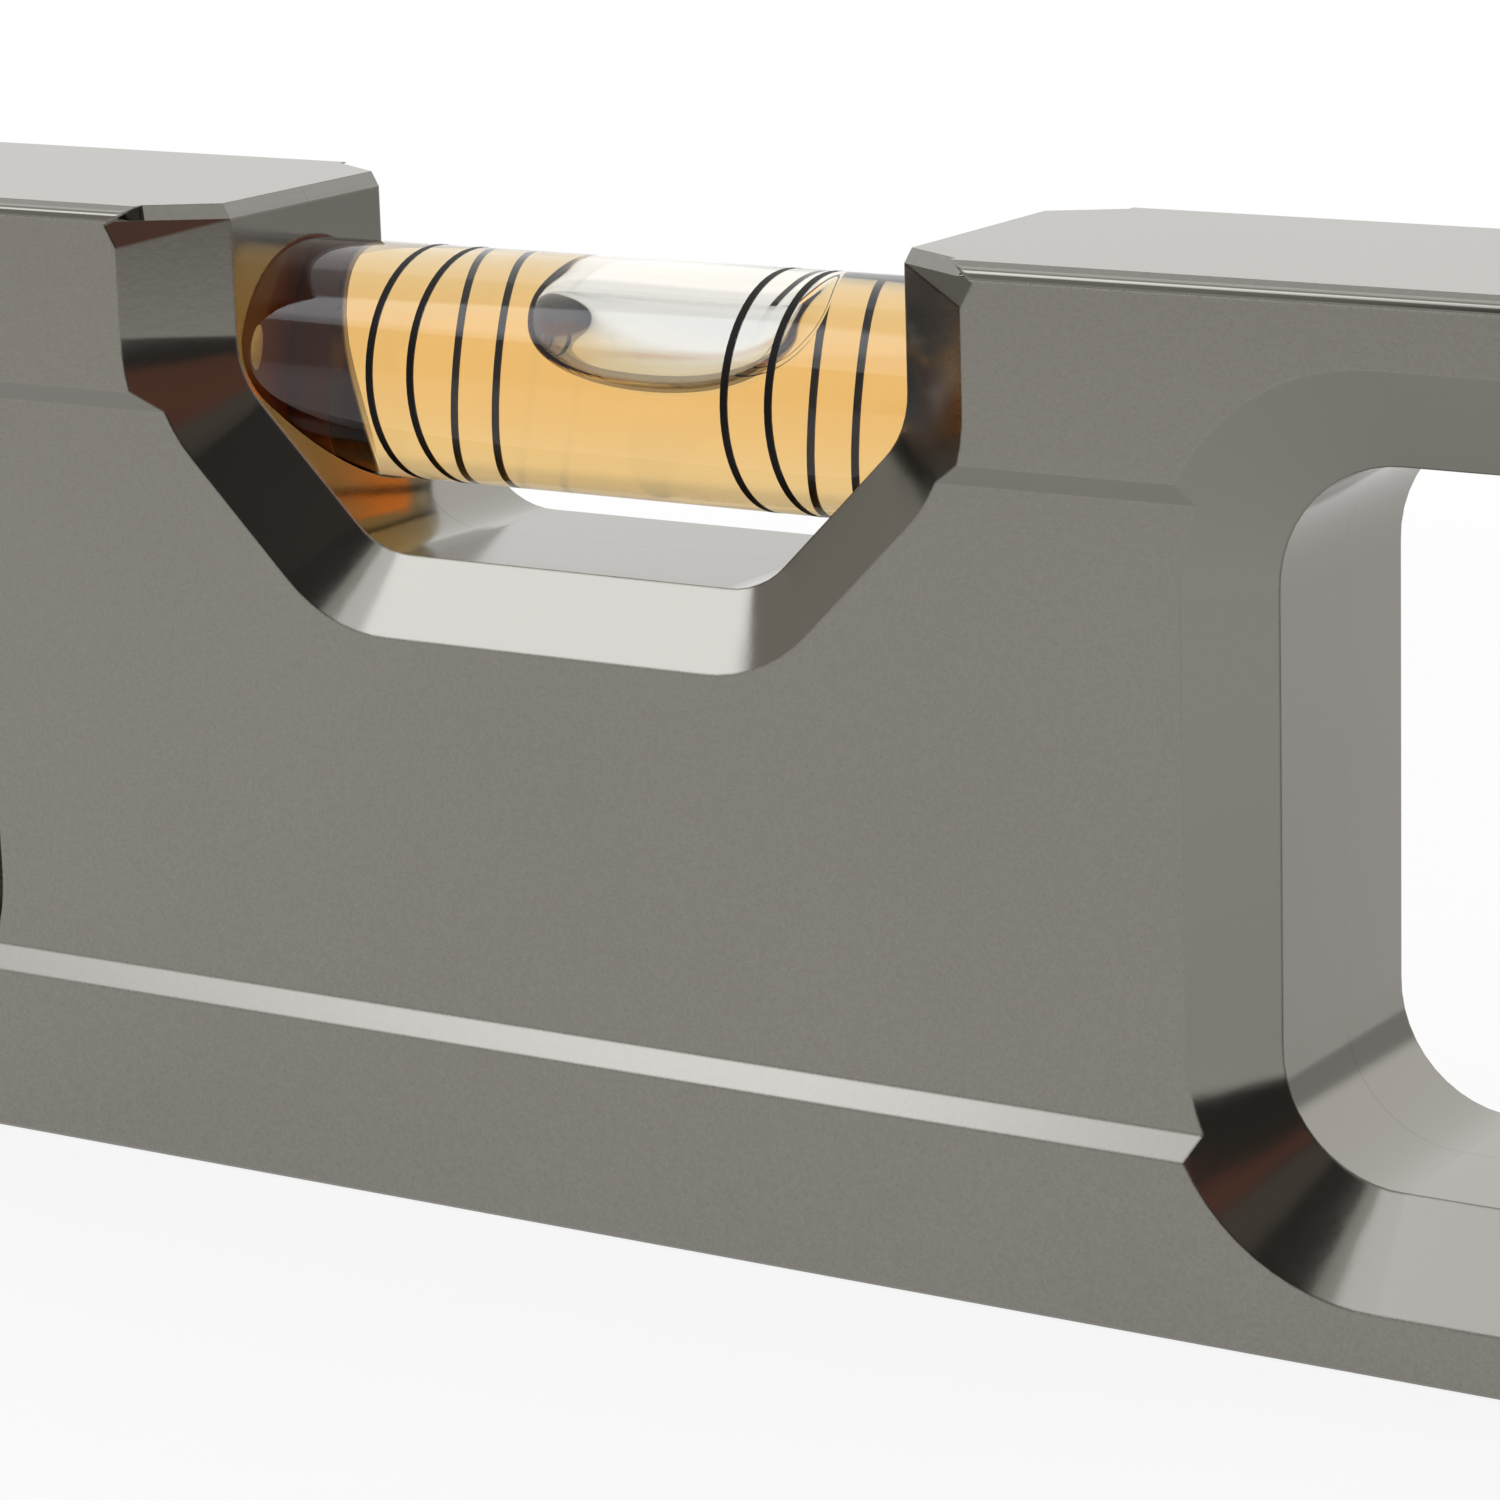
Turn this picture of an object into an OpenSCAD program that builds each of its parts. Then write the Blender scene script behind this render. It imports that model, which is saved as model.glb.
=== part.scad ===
// Small magnetic bar level: a machined metal bar with one tubular vial across a
// notch in its top, a bevelled window on each side and round magnets in its foot.
// X runs along the bar, Y from front to back, Z up. The origin is the centre of
// the foot, on the surface that the level stands on.

/* [Bar] */
// Length of the bar
bar_l = 100; // [94:1:160]
// Thickness of the bar, front to back
bar_t = 12.6; // [12.5:0.1:16]
// Height of the bar
bar_h = 33; // [30:0.5:45]
// Break along the top and end edges
edge_break = 0.5; // [0.2:0.05:0.8]
// Break along the edges of the foot
foot_break = 0.15; // [0.05:0.05:0.4]

/* [Web between foot and rail] */
// Depth of the web behind the foot and the rail, on each face
web_recess = 0.5; // [0.2:0.05:1]
// Height of the foot's front face
foot_h = 5.8; // [4:0.1:7]
// Height of the slope between the foot and the web
foot_slope_h = 0.8; // [0.3:0.05:1.5]
// Height of the rail's front face
rail_h = 6.2; // [5:0.1:8]
// Height of the slope between the rail and the web
rail_slope_h = 0.7; // [0.3:0.05:1.5]

/* [Bevel round the notch and the windows] */
// Width of the bevel, measured across the face
bevel_w = 3.2; // [1:0.1:4]
// Depth of the bevel, measured into the bar
bevel_d = 2.15; // [1.2:0.05:2.2]

/* [Notch] */
// Width between the notch's upright walls
notch_w = 26; // [24:0.5:27]
// Depth of the notch below the top of the bar
notch_depth = 11.3; // [10.8:0.1:13]
// Width of the notch's floor, between its sharp corners
notch_floor_w = 14.9; // [13:0.1:17]
// Angle of the sloping walls from the floor
notch_slope = 45; // [40:1:55]
// Radius at the foot of the walls and at the edges of the floor
notch_r = 3; // [1:0.1:4]
// Height of the break at the top of the notch's walls
lip_h = 0.5; // [0.2:0.05:0.8]
// Angle of that break from upright
lip_angle = 30; // [15:1:45]

/* [Windows] */
// Metal left between the notch and each window
pier_w = 12.75; // [12.5:0.25:16]
// Metal left at each end of the bar
end_wall = 6.25; // [5:0.25:10]
// Metal left under each window
sill_h = 5.2; // [4.8:0.1:8]
// Metal left over each window
head_h = 5.55; // [5:0.05:8]
// Radius of the windows' corners
window_r = 4; // [2:0.25:5]

/* [Vial] */
// Outside diameter of the vial
vial_d = 7.9; // [7.2:0.1:8]
// Depth of the vial's axis below the top of the bar
vial_drop = 5.63; // [5.4:0.01:6]
// Length of the vial inside each upright wall of the notch
vial_grip = 3; // [2:0.1:3.2]
// Play between the vial and its bores, all round
vial_play = 0.05; // [0.03:0.01:0.15]
// Diameter of the vial's inner chamber
chamber_d = 5.8; // [5:0.1:6]
// Thickness of the closed end of the vial, and length of its end plug
vial_end = 1.8; // [1.5:0.1:2.4]
// Diameter of the plug's flange
plug_flange_d = 6.6; // [6.3:0.1:6.7]
// Thickness of the plug's flange
plug_flange_t = 1; // [0.6:0.1:1.2]
// Diameter of the pin that closes the filling hole
fill_pin_d = 1; // [0.6:0.1:1.4]
// Setting compound between the vial's closed end and its bore
setting_t = 0.4; // [0.2:0.05:0.8]

/* [Reading rings] */
// Space between the two inner rings, from centre to centre
ring_gap = 12.2; // [12:0.1:15]
// Distance from each inner ring to its outer ring
ring_pitch = 1.65; // [1.2:0.05:2.5]
// Width of a ring
ring_w = 0.26; // [0.2:0.02:0.5]
// Depth of the ring's groove
ring_depth = 0.1; // [0.05:0.01:0.2]

/* [Liquid and bubble] */
// Height of the liquid's surface under the bubble, above the vial's axis
liquid_rise = -0.2; // [-0.6:0.1:0.6]
// Length of the bubble
bubble_l = 11.5; // [8:0.1:11.9]
// Place of the bubble's middle along the bar at rest
bubble_x = 2.4; // [-3:0.1:3]
// Play between the bubble and the chamber's wall
bubble_play = 0.12; // [0.05:0.01:0.3]

/* [Magnets] */
// Outside diameter of the steel cups
cup_d = 8; // [6:0.1:9]
// Height of the steel cups
cup_h = 3.1; // [2.5:0.1:3.5]
// Thickness of the cups' floors
cup_floor = 0.8; // [0.5:0.05:1.2]
// Diameter of the magnets
magnet_d = 5.6; // [4:0.1:6]
// Play between a magnet and its cup
magnet_play = 0.3; // [0.1:0.05:0.6]
// Depth of the cups' rims and the magnets above the foot's face
magnet_sink = 0.1; // [0.05:0.01:0.3]
// Distance from each end of the bar to the outer magnets
magnet_end = 14; // [12:0.5:18]
// Distance between the two inner magnets
magnet_pitch = 24; // [14:1:30]

/* [Hidden] */
$fn = 96;
over = 1;
// Extra radius of a corner's arc, so that it crosses its walls and isn't only
// tangent to them
corner_ease = 0.001;

web_t = bar_t - 2 * web_recess;
web_z0 = foot_h + foot_slope_h;
rail_z = bar_h - rail_h;
web_z1 = rail_z - rail_slope_h;

bevel_reach = bevel_w * (1 + over / bevel_d);

notch_half = notch_w / 2;
notch_z = bar_h - notch_depth;
floor_half = notch_floor_w / 2;
wall_foot_z = notch_z + (notch_half - floor_half) * tan(notch_slope);
lip_w = lip_h * tan(lip_angle);

window_x0 = notch_half + pier_w;
window_x1 = bar_l / 2 - end_wall;
window_z1 = bar_h - head_h;

// The vial is slid into the left bore until its right end clears the notch's
// right slope, and then back into the right bore
vial_z = bar_h - vial_drop;
vial_l = notch_w + 2 * vial_grip;
bore_r = vial_d / 2 + vial_play;
bore_x1 = notch_half + vial_grip + setting_t;
bore_x0 = floor_half + (vial_z - bore_r - notch_z) / tan(notch_slope) - vial_l - setting_t;
chamber_half = vial_l / 2 - vial_end;
ring_xs = [-ring_gap / 2 - ring_pitch, -ring_gap / 2, ring_gap / 2, ring_gap / 2 + ring_pitch];

pocket_h = cup_h + magnet_sink;
magnet_h = cup_h - cup_floor;
magnet_xs = [
    -bar_l / 2 + magnet_end,
    -magnet_pitch / 2,
    magnet_pitch / 2,
    bar_l / 2 - magnet_end
];

// Corner points of the notch and of a window as [x, z], where each one is the
// centre of a rounded corner, counter-clockwise as seen from the front
notch_centres = [
    [-notch_half + notch_r, bar_h + over],
    [-notch_half + notch_r, wall_foot_z + notch_r * tan((90 - notch_slope) / 2)],
    [-floor_half + notch_r * tan(notch_slope / 2), notch_z + notch_r],
    [floor_half - notch_r * tan(notch_slope / 2), notch_z + notch_r],
    [notch_half - notch_r, wall_foot_z + notch_r * tan((90 - notch_slope) / 2)],
    [notch_half - notch_r, bar_h + over]
];
window_centres = [
    [window_x0 + window_r, sill_h + window_r],
    [window_x1 - window_r, sill_h + window_r],
    [window_x1 - window_r, window_z1 - window_r],
    [window_x0 + window_r, window_z1 - window_r]
];

// Cylinder along X from x0 to x1 on the vial's axis
module on_axis(x0, x1, r) {
    translate([x0, 0, vial_z])
        rotate([0, 90, 0])
            cylinder(h = x1 - x0, r = r);
}

// Upright cylinder in the foot, from z0 to z1
module in_foot(x, z0, z1, r) {
    translate([x, 0, z0])
        cylinder(h = z1 - z0, r = r);
}

// Cut through the bar round the centre of a rounded corner, with a cone at each face
module corner_cut(centre, r) {
    corner_r = r + corner_ease;
    translate([centre[0], 0, centre[1]])
        rotate([90, 0, 0]) {
            cylinder(h = bar_t, r = corner_r, center = true);
            for (side = [0, 1])
                mirror([0, 0, side])
                    translate([0, 0, bar_t / 2 - bevel_d])
                        cylinder(h = bevel_d + over, r1 = corner_r, r2 = corner_r + bevel_reach);
        }
}

// Cut through the bar along the straight wall that stands at a distance r on the
// right of the line a-b, seen from the front, with a bevel at each face
module wall_cut(a, b, r) {
    run = b - a;
    face = bar_t / 2 + over;
    neck = bar_t / 2 - bevel_d;
    translate([a[0], 0, a[1]])
        rotate([0, atan2(run[0], run[1]), 0])
            linear_extrude(height = norm(run))
                polygon([
                    [-over, -face], [r + bevel_reach, -face], [r, -neck],
                    [r, neck], [r + bevel_reach, face], [-over, face]
                ]);
}

// The part of an opening that lies inside its corners' centres
module middle_cut(centres) {
    rotate([90, 0, 0])
        linear_extrude(height = bar_t + 2 * over, center = true)
            polygon(centres);
}

module notch_cut() {
    c = notch_centres;
    middle_cut(c);
    for (i = [0:4])
        wall_cut(c[i], c[i + 1], notch_r);
    for (i = [1:4])
        corner_cut(c[i], notch_r);
}

module window_cut() {
    c = window_centres;
    middle_cut(c);
    for (i = [0:3]) {
        wall_cut(c[i], c[(i + 1) % 4], window_r);
        corner_cut(c[i], window_r);
    }
}

// Break at the top of the notch's right wall, carried out across the bevel
module lip_cut() {
    wall_cut(
        [notch_half - over * tan(lip_angle), bar_h - lip_h - over],
        [notch_half + lip_w + over * tan(lip_angle), bar_h + over],
        0
    );
}

// Section of the bar: foot, web and rail, as seen from the end
module bar_section() {
    t = bar_t / 2;
    w = web_t / 2;
    right = [
        [t - foot_break, 0], [t, foot_break], [t, foot_h], [w, web_z0],
        [w, web_z1], [t, rail_z], [t, bar_h - edge_break], [t - edge_break, bar_h]
    ];
    left = [for (i = [len(right) - 1:-1:0]) [-right[i][0], right[i][1]]];
    polygon(concat(right, left));
}

// Side outline of the bar, with its broken corners
module bar_side() {
    l = bar_l / 2;
    polygon([
        [-l + foot_break, 0], [l - foot_break, 0], [l, foot_break],
        [l, bar_h - edge_break], [l - edge_break, bar_h],
        [-l + edge_break, bar_h], [-l, bar_h - edge_break], [-l, foot_break]
    ]);
}

// Plan of the bar, with its broken upright corners
module bar_plan() {
    l = bar_l / 2;
    t = bar_t / 2;
    e = edge_break;
    polygon([
        [-l + e, -t], [l - e, -t], [l, -t + e], [l, t - e],
        [l - e, t], [-l + e, t], [-l, t - e], [-l, -t + e]
    ]);
}

module bar_blank() {
    intersection() {
        rotate([90, 0, 90])
            linear_extrude(height = bar_l, center = true)
                bar_section();
        rotate([90, 0, 0])
            linear_extrude(height = bar_t + over, center = true)
                bar_side();
        translate([0, 0, -over])
            linear_extrude(height = bar_h + 2 * over)
                bar_plan();
    }
}

module body() {
    color("#8f8a82")
        difference() {
            bar_blank();
            notch_cut();
            for (side = [0, 1])
                mirror([side, 0, 0]) {
                    lip_cut();
                    window_cut();
                }
            on_axis(bore_x0, bore_x1, bore_r);
            for (x = magnet_xs)
                in_foot(x, -over, pocket_h, cup_d / 2);
        }
}

// Band of the vial's surface that a ring fills
module ring_band(x) {
    difference() {
        on_axis(x - ring_w / 2, x + ring_w / 2, vial_d / 2);
        on_axis(x - ring_w, x + ring_w, vial_d / 2 - ring_depth);
    }
}

module ring(i) {
    color("#171310")
        ring_band(ring_xs[i]);
}

module vial_barrel() {
    color("#f3efe6", 0.45)
        difference() {
            on_axis(-vial_l / 2, vial_l / 2, vial_d / 2);
            on_axis(-vial_l / 2 - over, chamber_half, chamber_d / 2);
            on_axis(-vial_l / 2 - over, -vial_l / 2 + plug_flange_t, plug_flange_d / 2);
            for (x = ring_xs)
                ring_band(x);
        }
}

module vial_plug() {
    color("#592b21")
        difference() {
            union() {
                on_axis(-vial_l / 2, -vial_l / 2 + plug_flange_t, plug_flange_d / 2);
                on_axis(-vial_l / 2, -chamber_half, chamber_d / 2);
            }
            on_axis(-vial_l / 2 - over, -chamber_half + over, fill_pin_d / 2);
        }
}

module vial_fill_pin() {
    color("#c9ccd0")
        on_axis(-vial_l / 2, -chamber_half, fill_pin_d / 2);
}

// The liquid below the bubble's track: the rest of the chamber is liquid too,
// wherever the bubble isn't, which one solid can't show
module vial_liquid() {
    color("#e5a23a", 0.7)
        intersection() {
            on_axis(-chamber_half, chamber_half, chamber_d / 2);
            translate([-chamber_half - over, -chamber_d, vial_z - 2 * chamber_d + liquid_rise])
                cube([2 * (chamber_half + over), 2 * chamber_d, 2 * chamber_d]);
        }
}

// The part of a round-ended rod that lies above the surface of the liquid
module bubble() {
    r = chamber_d / 2 - bubble_play;
    half = bubble_l / 2;
    color("#fffdf6", 0.35)
        intersection() {
            union() {
                on_axis(bubble_x - half + r, bubble_x + half - r, r);
                for (side = [-1, 1])
                    translate([bubble_x + side * (half - r), 0, vial_z])
                        sphere(r = r);
            }
            translate([bubble_x - bubble_l, -chamber_d, vial_z + liquid_rise])
                cube([2 * bubble_l, 2 * chamber_d, chamber_d]);
        }
}

// Setting compound that fills the rest of the longer bore, through which the
// vial was slid in
module setting_left() {
    color("#592b21")
        on_axis(bore_x0, -vial_l / 2, bore_r);
}

module setting_right() {
    color("#592b21")
        on_axis(vial_l / 2, bore_x1, bore_r);
}

module magnet_cup(i) {
    x = magnet_xs[i];
    color("#b6b8ba")
        difference() {
            in_foot(x, magnet_sink, pocket_h, cup_d / 2);
            in_foot(x, -over, magnet_sink + magnet_h, magnet_d / 2 + magnet_play);
        }
}

module magnet(i) {
    color("#5c5f63")
        in_foot(magnet_xs[i], magnet_sink, magnet_sink + magnet_h, magnet_d / 2);
}

body();
vial_barrel();
vial_plug();
vial_fill_pin();
vial_liquid();
bubble();
ring(0);  // ring_left_outer
ring(1);  // ring_left_inner
ring(2);  // ring_right_inner
ring(3);  // ring_right_outer
setting_left();
setting_right();
magnet_cup(0);  // magnet_cup_1
magnet_cup(1);  // magnet_cup_2
magnet_cup(2);  // magnet_cup_3
magnet_cup(3);  // magnet_cup_4
magnet(0);  // magnet_1
magnet(1);  // magnet_2
magnet(2);  // magnet_3
magnet(3);  // magnet_4
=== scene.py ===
"""The looks of a small magnetic bar level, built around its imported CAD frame.

The bar, the rings, the stopper, its pin and the magnets are the frame's own
nodes with new finishes. The vial's tube, its liquid and its bubble are new
surfaces, because light has to cross each of their boundaries just once, and
the setting compound is new because it wets the tube.
"""

import logging
import math
from dataclasses import dataclass, field
from enum import Enum
from typing import Any, Union

import bpy
import numpy as np
from mathutils import Matrix, Vector

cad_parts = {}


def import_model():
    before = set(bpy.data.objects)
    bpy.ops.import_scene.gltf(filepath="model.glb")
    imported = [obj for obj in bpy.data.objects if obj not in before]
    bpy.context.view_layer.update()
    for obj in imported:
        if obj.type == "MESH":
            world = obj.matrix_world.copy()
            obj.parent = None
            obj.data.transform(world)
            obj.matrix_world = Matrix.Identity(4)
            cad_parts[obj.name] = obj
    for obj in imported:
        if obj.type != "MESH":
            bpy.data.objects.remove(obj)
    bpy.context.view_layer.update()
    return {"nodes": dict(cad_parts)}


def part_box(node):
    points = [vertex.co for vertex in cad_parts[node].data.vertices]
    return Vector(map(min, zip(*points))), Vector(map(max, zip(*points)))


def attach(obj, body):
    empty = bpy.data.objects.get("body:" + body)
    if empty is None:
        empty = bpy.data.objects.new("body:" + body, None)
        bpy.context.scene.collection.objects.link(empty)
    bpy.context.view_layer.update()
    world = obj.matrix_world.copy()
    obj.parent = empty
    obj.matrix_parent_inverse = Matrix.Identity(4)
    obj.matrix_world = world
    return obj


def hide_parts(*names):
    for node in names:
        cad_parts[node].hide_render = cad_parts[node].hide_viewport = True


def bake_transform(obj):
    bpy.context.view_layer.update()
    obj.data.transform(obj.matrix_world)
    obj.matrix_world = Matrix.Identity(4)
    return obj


LOG = logging.getLogger("level")
MM = 0.001
LEVEL_BODY = "level"
BUBBLE_BODY = "bubble"
SHARP_DEGREES = 35
DEGREES = 180 / math.pi
MIX_FIRST, MIX_SECOND = 6, 7
EDGE_SAMPLES = 4
FINE = 3.0
MATERIAL_END = "ShaderNodeOutputMaterial"
WORLD_END = "ShaderNodeOutputWorld"

Triple = tuple[float, float, float]
Color = Triple
Span = tuple[float, float]
Operand = Union["Value", float, Color]


class Side(Enum):
    """One end of the vial, as the direction along X in which it lies."""

    LEFT = -1
    RIGHT = 1


class Ray(Enum):
    """A kind of light ray, by the name of its socket."""

    CAMERA = "Is Camera Ray"
    GLOSSY = "Is Glossy Ray"
    TRANSMISSION = "Is Transmission Ray"


class Value:
    """A socket that carries a number, a vector or a colour through a node tree."""

    def __init__(self, graph: "Graph", socket: bpy.types.NodeSocket) -> None:
        """Wraps one output socket of a graph."""
        self.graph = graph
        self.socket = socket

    def _math(self, operation: str, *operands: Operand) -> "Value":
        """Adds a Math node on the given operands."""
        return self.graph.node("ShaderNodeMath", {"operation": operation}, dict(enumerate(operands)))

    def __add__(self, other: Operand) -> "Value":
        """Sum."""
        return self._math("ADD", self, other)

    def __sub__(self, other: Operand) -> "Value":
        """Difference."""
        return self._math("SUBTRACT", self, other)

    def __rsub__(self, other: Operand) -> "Value":
        """Difference, with this value taken away."""
        return self._math("SUBTRACT", other, self)

    def __mul__(self, other: Operand) -> "Value":
        """Product."""
        return self._math("MULTIPLY", self, other)

    def __truediv__(self, other: Operand) -> "Value":
        """Quotient."""
        return self._math("DIVIDE", self, other)

    __radd__ = __add__
    __rmul__ = __mul__

    def __neg__(self) -> "Value":
        """The value with its sign turned."""
        return self * -1.0

    def __abs__(self) -> "Value":
        """Absolute value."""
        return self._math("ABSOLUTE", self)

    def at_least(self, other: Operand) -> "Value":
        """The greater of the two."""
        return self._math("MAXIMUM", self, other)

    def bearing(self, across: "Value") -> "Value":
        """The angle in radians whose sine goes with this value and its cosine with across."""
        return self._math("ARCTAN2", self, across)

    def root(self) -> "Value":
        """Square root."""
        return self._math("SQRT", self)

    def arcsine(self) -> "Value":
        """The angle in radians whose sine this value is."""
        return self._math("ARCSINE", self)

    def rise(self, low: float, high: float) -> "Value":
        """A smooth step.

        Args:
            low: Where it is 0.
            high: Where it is 1.

        Returns:
            The step at this value.
        """
        return self.graph.node(
            "ShaderNodeMapRange",
            {"interpolation_type": "SMOOTHSTEP"},
            {"Value": self, "From Min": low, "From Max": high},
        )

    def between(self, low: float, high: float, soft: float) -> "Value":
        """A smooth window.

        Args:
            low: The start of the stretch in which it is 1.
            high: The end of that stretch.
            soft: The width on each side over which it fades to 0.

        Returns:
            The window at this value.
        """
        half = (high - low) / 2
        return 1.0 - abs(self - (low + high) / 2).rise(half, half + soft)

    def line(self, centre: float, width: float) -> "Value":
        """A thin line that is 1 where this value is centre and 0 a width away."""
        return 1.0 - abs(self - centre).rise(0.0, width)


class Graph:
    """Builds the node tree of one material or of the world."""

    def __init__(self, tree: bpy.types.NodeTree) -> None:
        """Takes a tree and empties it."""
        self.tree = tree
        tree.nodes.clear()

    def node(
        self,
        kind: str,
        settings: dict[str, Any],
        inputs: dict[Union[int, str], Any],
        output: Union[int, str] = 0,
    ) -> Value:
        """Adds a node.

        Args:
            kind: The node's type.
            settings: Its own settings, which are set first.
            inputs: The value or link of each socket, by name or place.
            output: The output that is wanted.

        Returns:
            That output.
        """
        made = self.tree.nodes.new(kind)
        for name, setting in settings.items():
            setattr(made, name, setting)
        for key, value in inputs.items():
            if isinstance(value, Value):
                self.tree.links.new(value.socket, made.inputs[key])
            else:
                made.inputs[key].default_value = value
        return Value(self, made.outputs[output])

    def place(self) -> Value:
        """The point's place on the object, in metres."""
        return self.node("ShaderNodeTexCoord", {}, {}, "Object")

    def parts(self, vector: Value) -> tuple[Value, Value, Value]:
        """The three numbers of a vector."""
        split = self.node("ShaderNodeSeparateXYZ", {}, {"Vector": vector}).socket.node
        return tuple(Value(self, socket) for socket in split.outputs)

    def noise(self, vector: Value, stretch: Triple, size: float, detail: float = 2.0) -> Value:
        """A smooth random pattern.

        Args:
            vector: Where the pattern is read.
            stretch: How fast it changes along X, Y and Z.
            size: The pattern's grain along an axis whose stretch is 1, in metres.
            detail: How many finer layers it has.

        Returns:
            The pattern, around 0.5.
        """
        scaled = self.node(
            "ShaderNodeMapping", {}, {"Vector": vector, "Scale": tuple(s / size for s in stretch)}
        )
        return self.node("ShaderNodeTexNoise", {}, {"Vector": scaled, "Scale": 1.0, "Detail": detail})

    def mix(self, factor: Operand, first: Operand, second: Operand) -> Value:
        """A colour between two.

        Args:
            factor: The share of the second.
            first: The colour where the factor is 0.
            second: The colour where it is 1.

        Returns:
            The mixed colour.
        """
        ends = [end if isinstance(end, Value) else (*end, 1.0) for end in (first, second)]
        inputs = {0: factor, MIX_FIRST: ends[0], MIX_SECOND: ends[1]}
        return self.node("ShaderNodeMix", {"data_type": "RGBA"}, inputs, 2)

    def bump(self, height: Value, depth: float, normal: Union["Value", None] = None) -> Value:
        """A normal, bent by a height pattern.

        Args:
            height: The pattern.
            depth: The height in metres that a pattern of 1 stands for.
            normal: The normal that is bent, if not the surface's own.

        Returns:
            The bent normal.
        """
        inputs = {"Height": height, "Distance": depth}
        if normal is not None:
            inputs["Normal"] = normal
        return self.node("ShaderNodeBump", {}, inputs)

    def soft_edges(self, radius: float) -> Value:
        """A normal that turns smoothly across every edge, over a radius in metres."""
        return self.node("ShaderNodeBevel", {"samples": EDGE_SAMPLES}, {"Radius": radius})

    def principled(self, inputs: dict[str, Any]) -> Value:
        """The main surface shader with the given sockets."""
        return self.node("ShaderNodeBsdfPrincipled", {}, inputs)

    def scaled(self, color: Union[Value, Color], factor: Operand) -> Value:
        """A colour made lighter or darker.

        Args:
            color: The colour.
            factor: How many times as light it becomes.

        Returns:
            The new colour.
        """
        return self.node(
            "ShaderNodeVectorMath", {"operation": "SCALE"}, {"Vector": color, "Scale": factor}
        )

    def end(self, kind: str, inputs: dict[str, Value]) -> None:
        """Ends the tree in an output node.

        Args:
            kind: The output node's type.
            inputs: The link of each of its sockets, by name.
        """
        made = self.tree.nodes.new(kind)
        for key, value in inputs.items():
            self.tree.links.new(value.socket, made.inputs[key])


def new_material(name: str, color: Color) -> tuple[bpy.types.Material, Graph]:
    """Makes an empty material.

    Args:
        name: The material's name.
        color: Its colour in plain viewports.

    Returns:
        The material and the graph of its nodes.
    """
    material = bpy.data.materials.new(name)
    material.use_nodes = True
    material.diffuse_color = (*color, 1.0)
    return material, Graph(material.node_tree)


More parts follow.
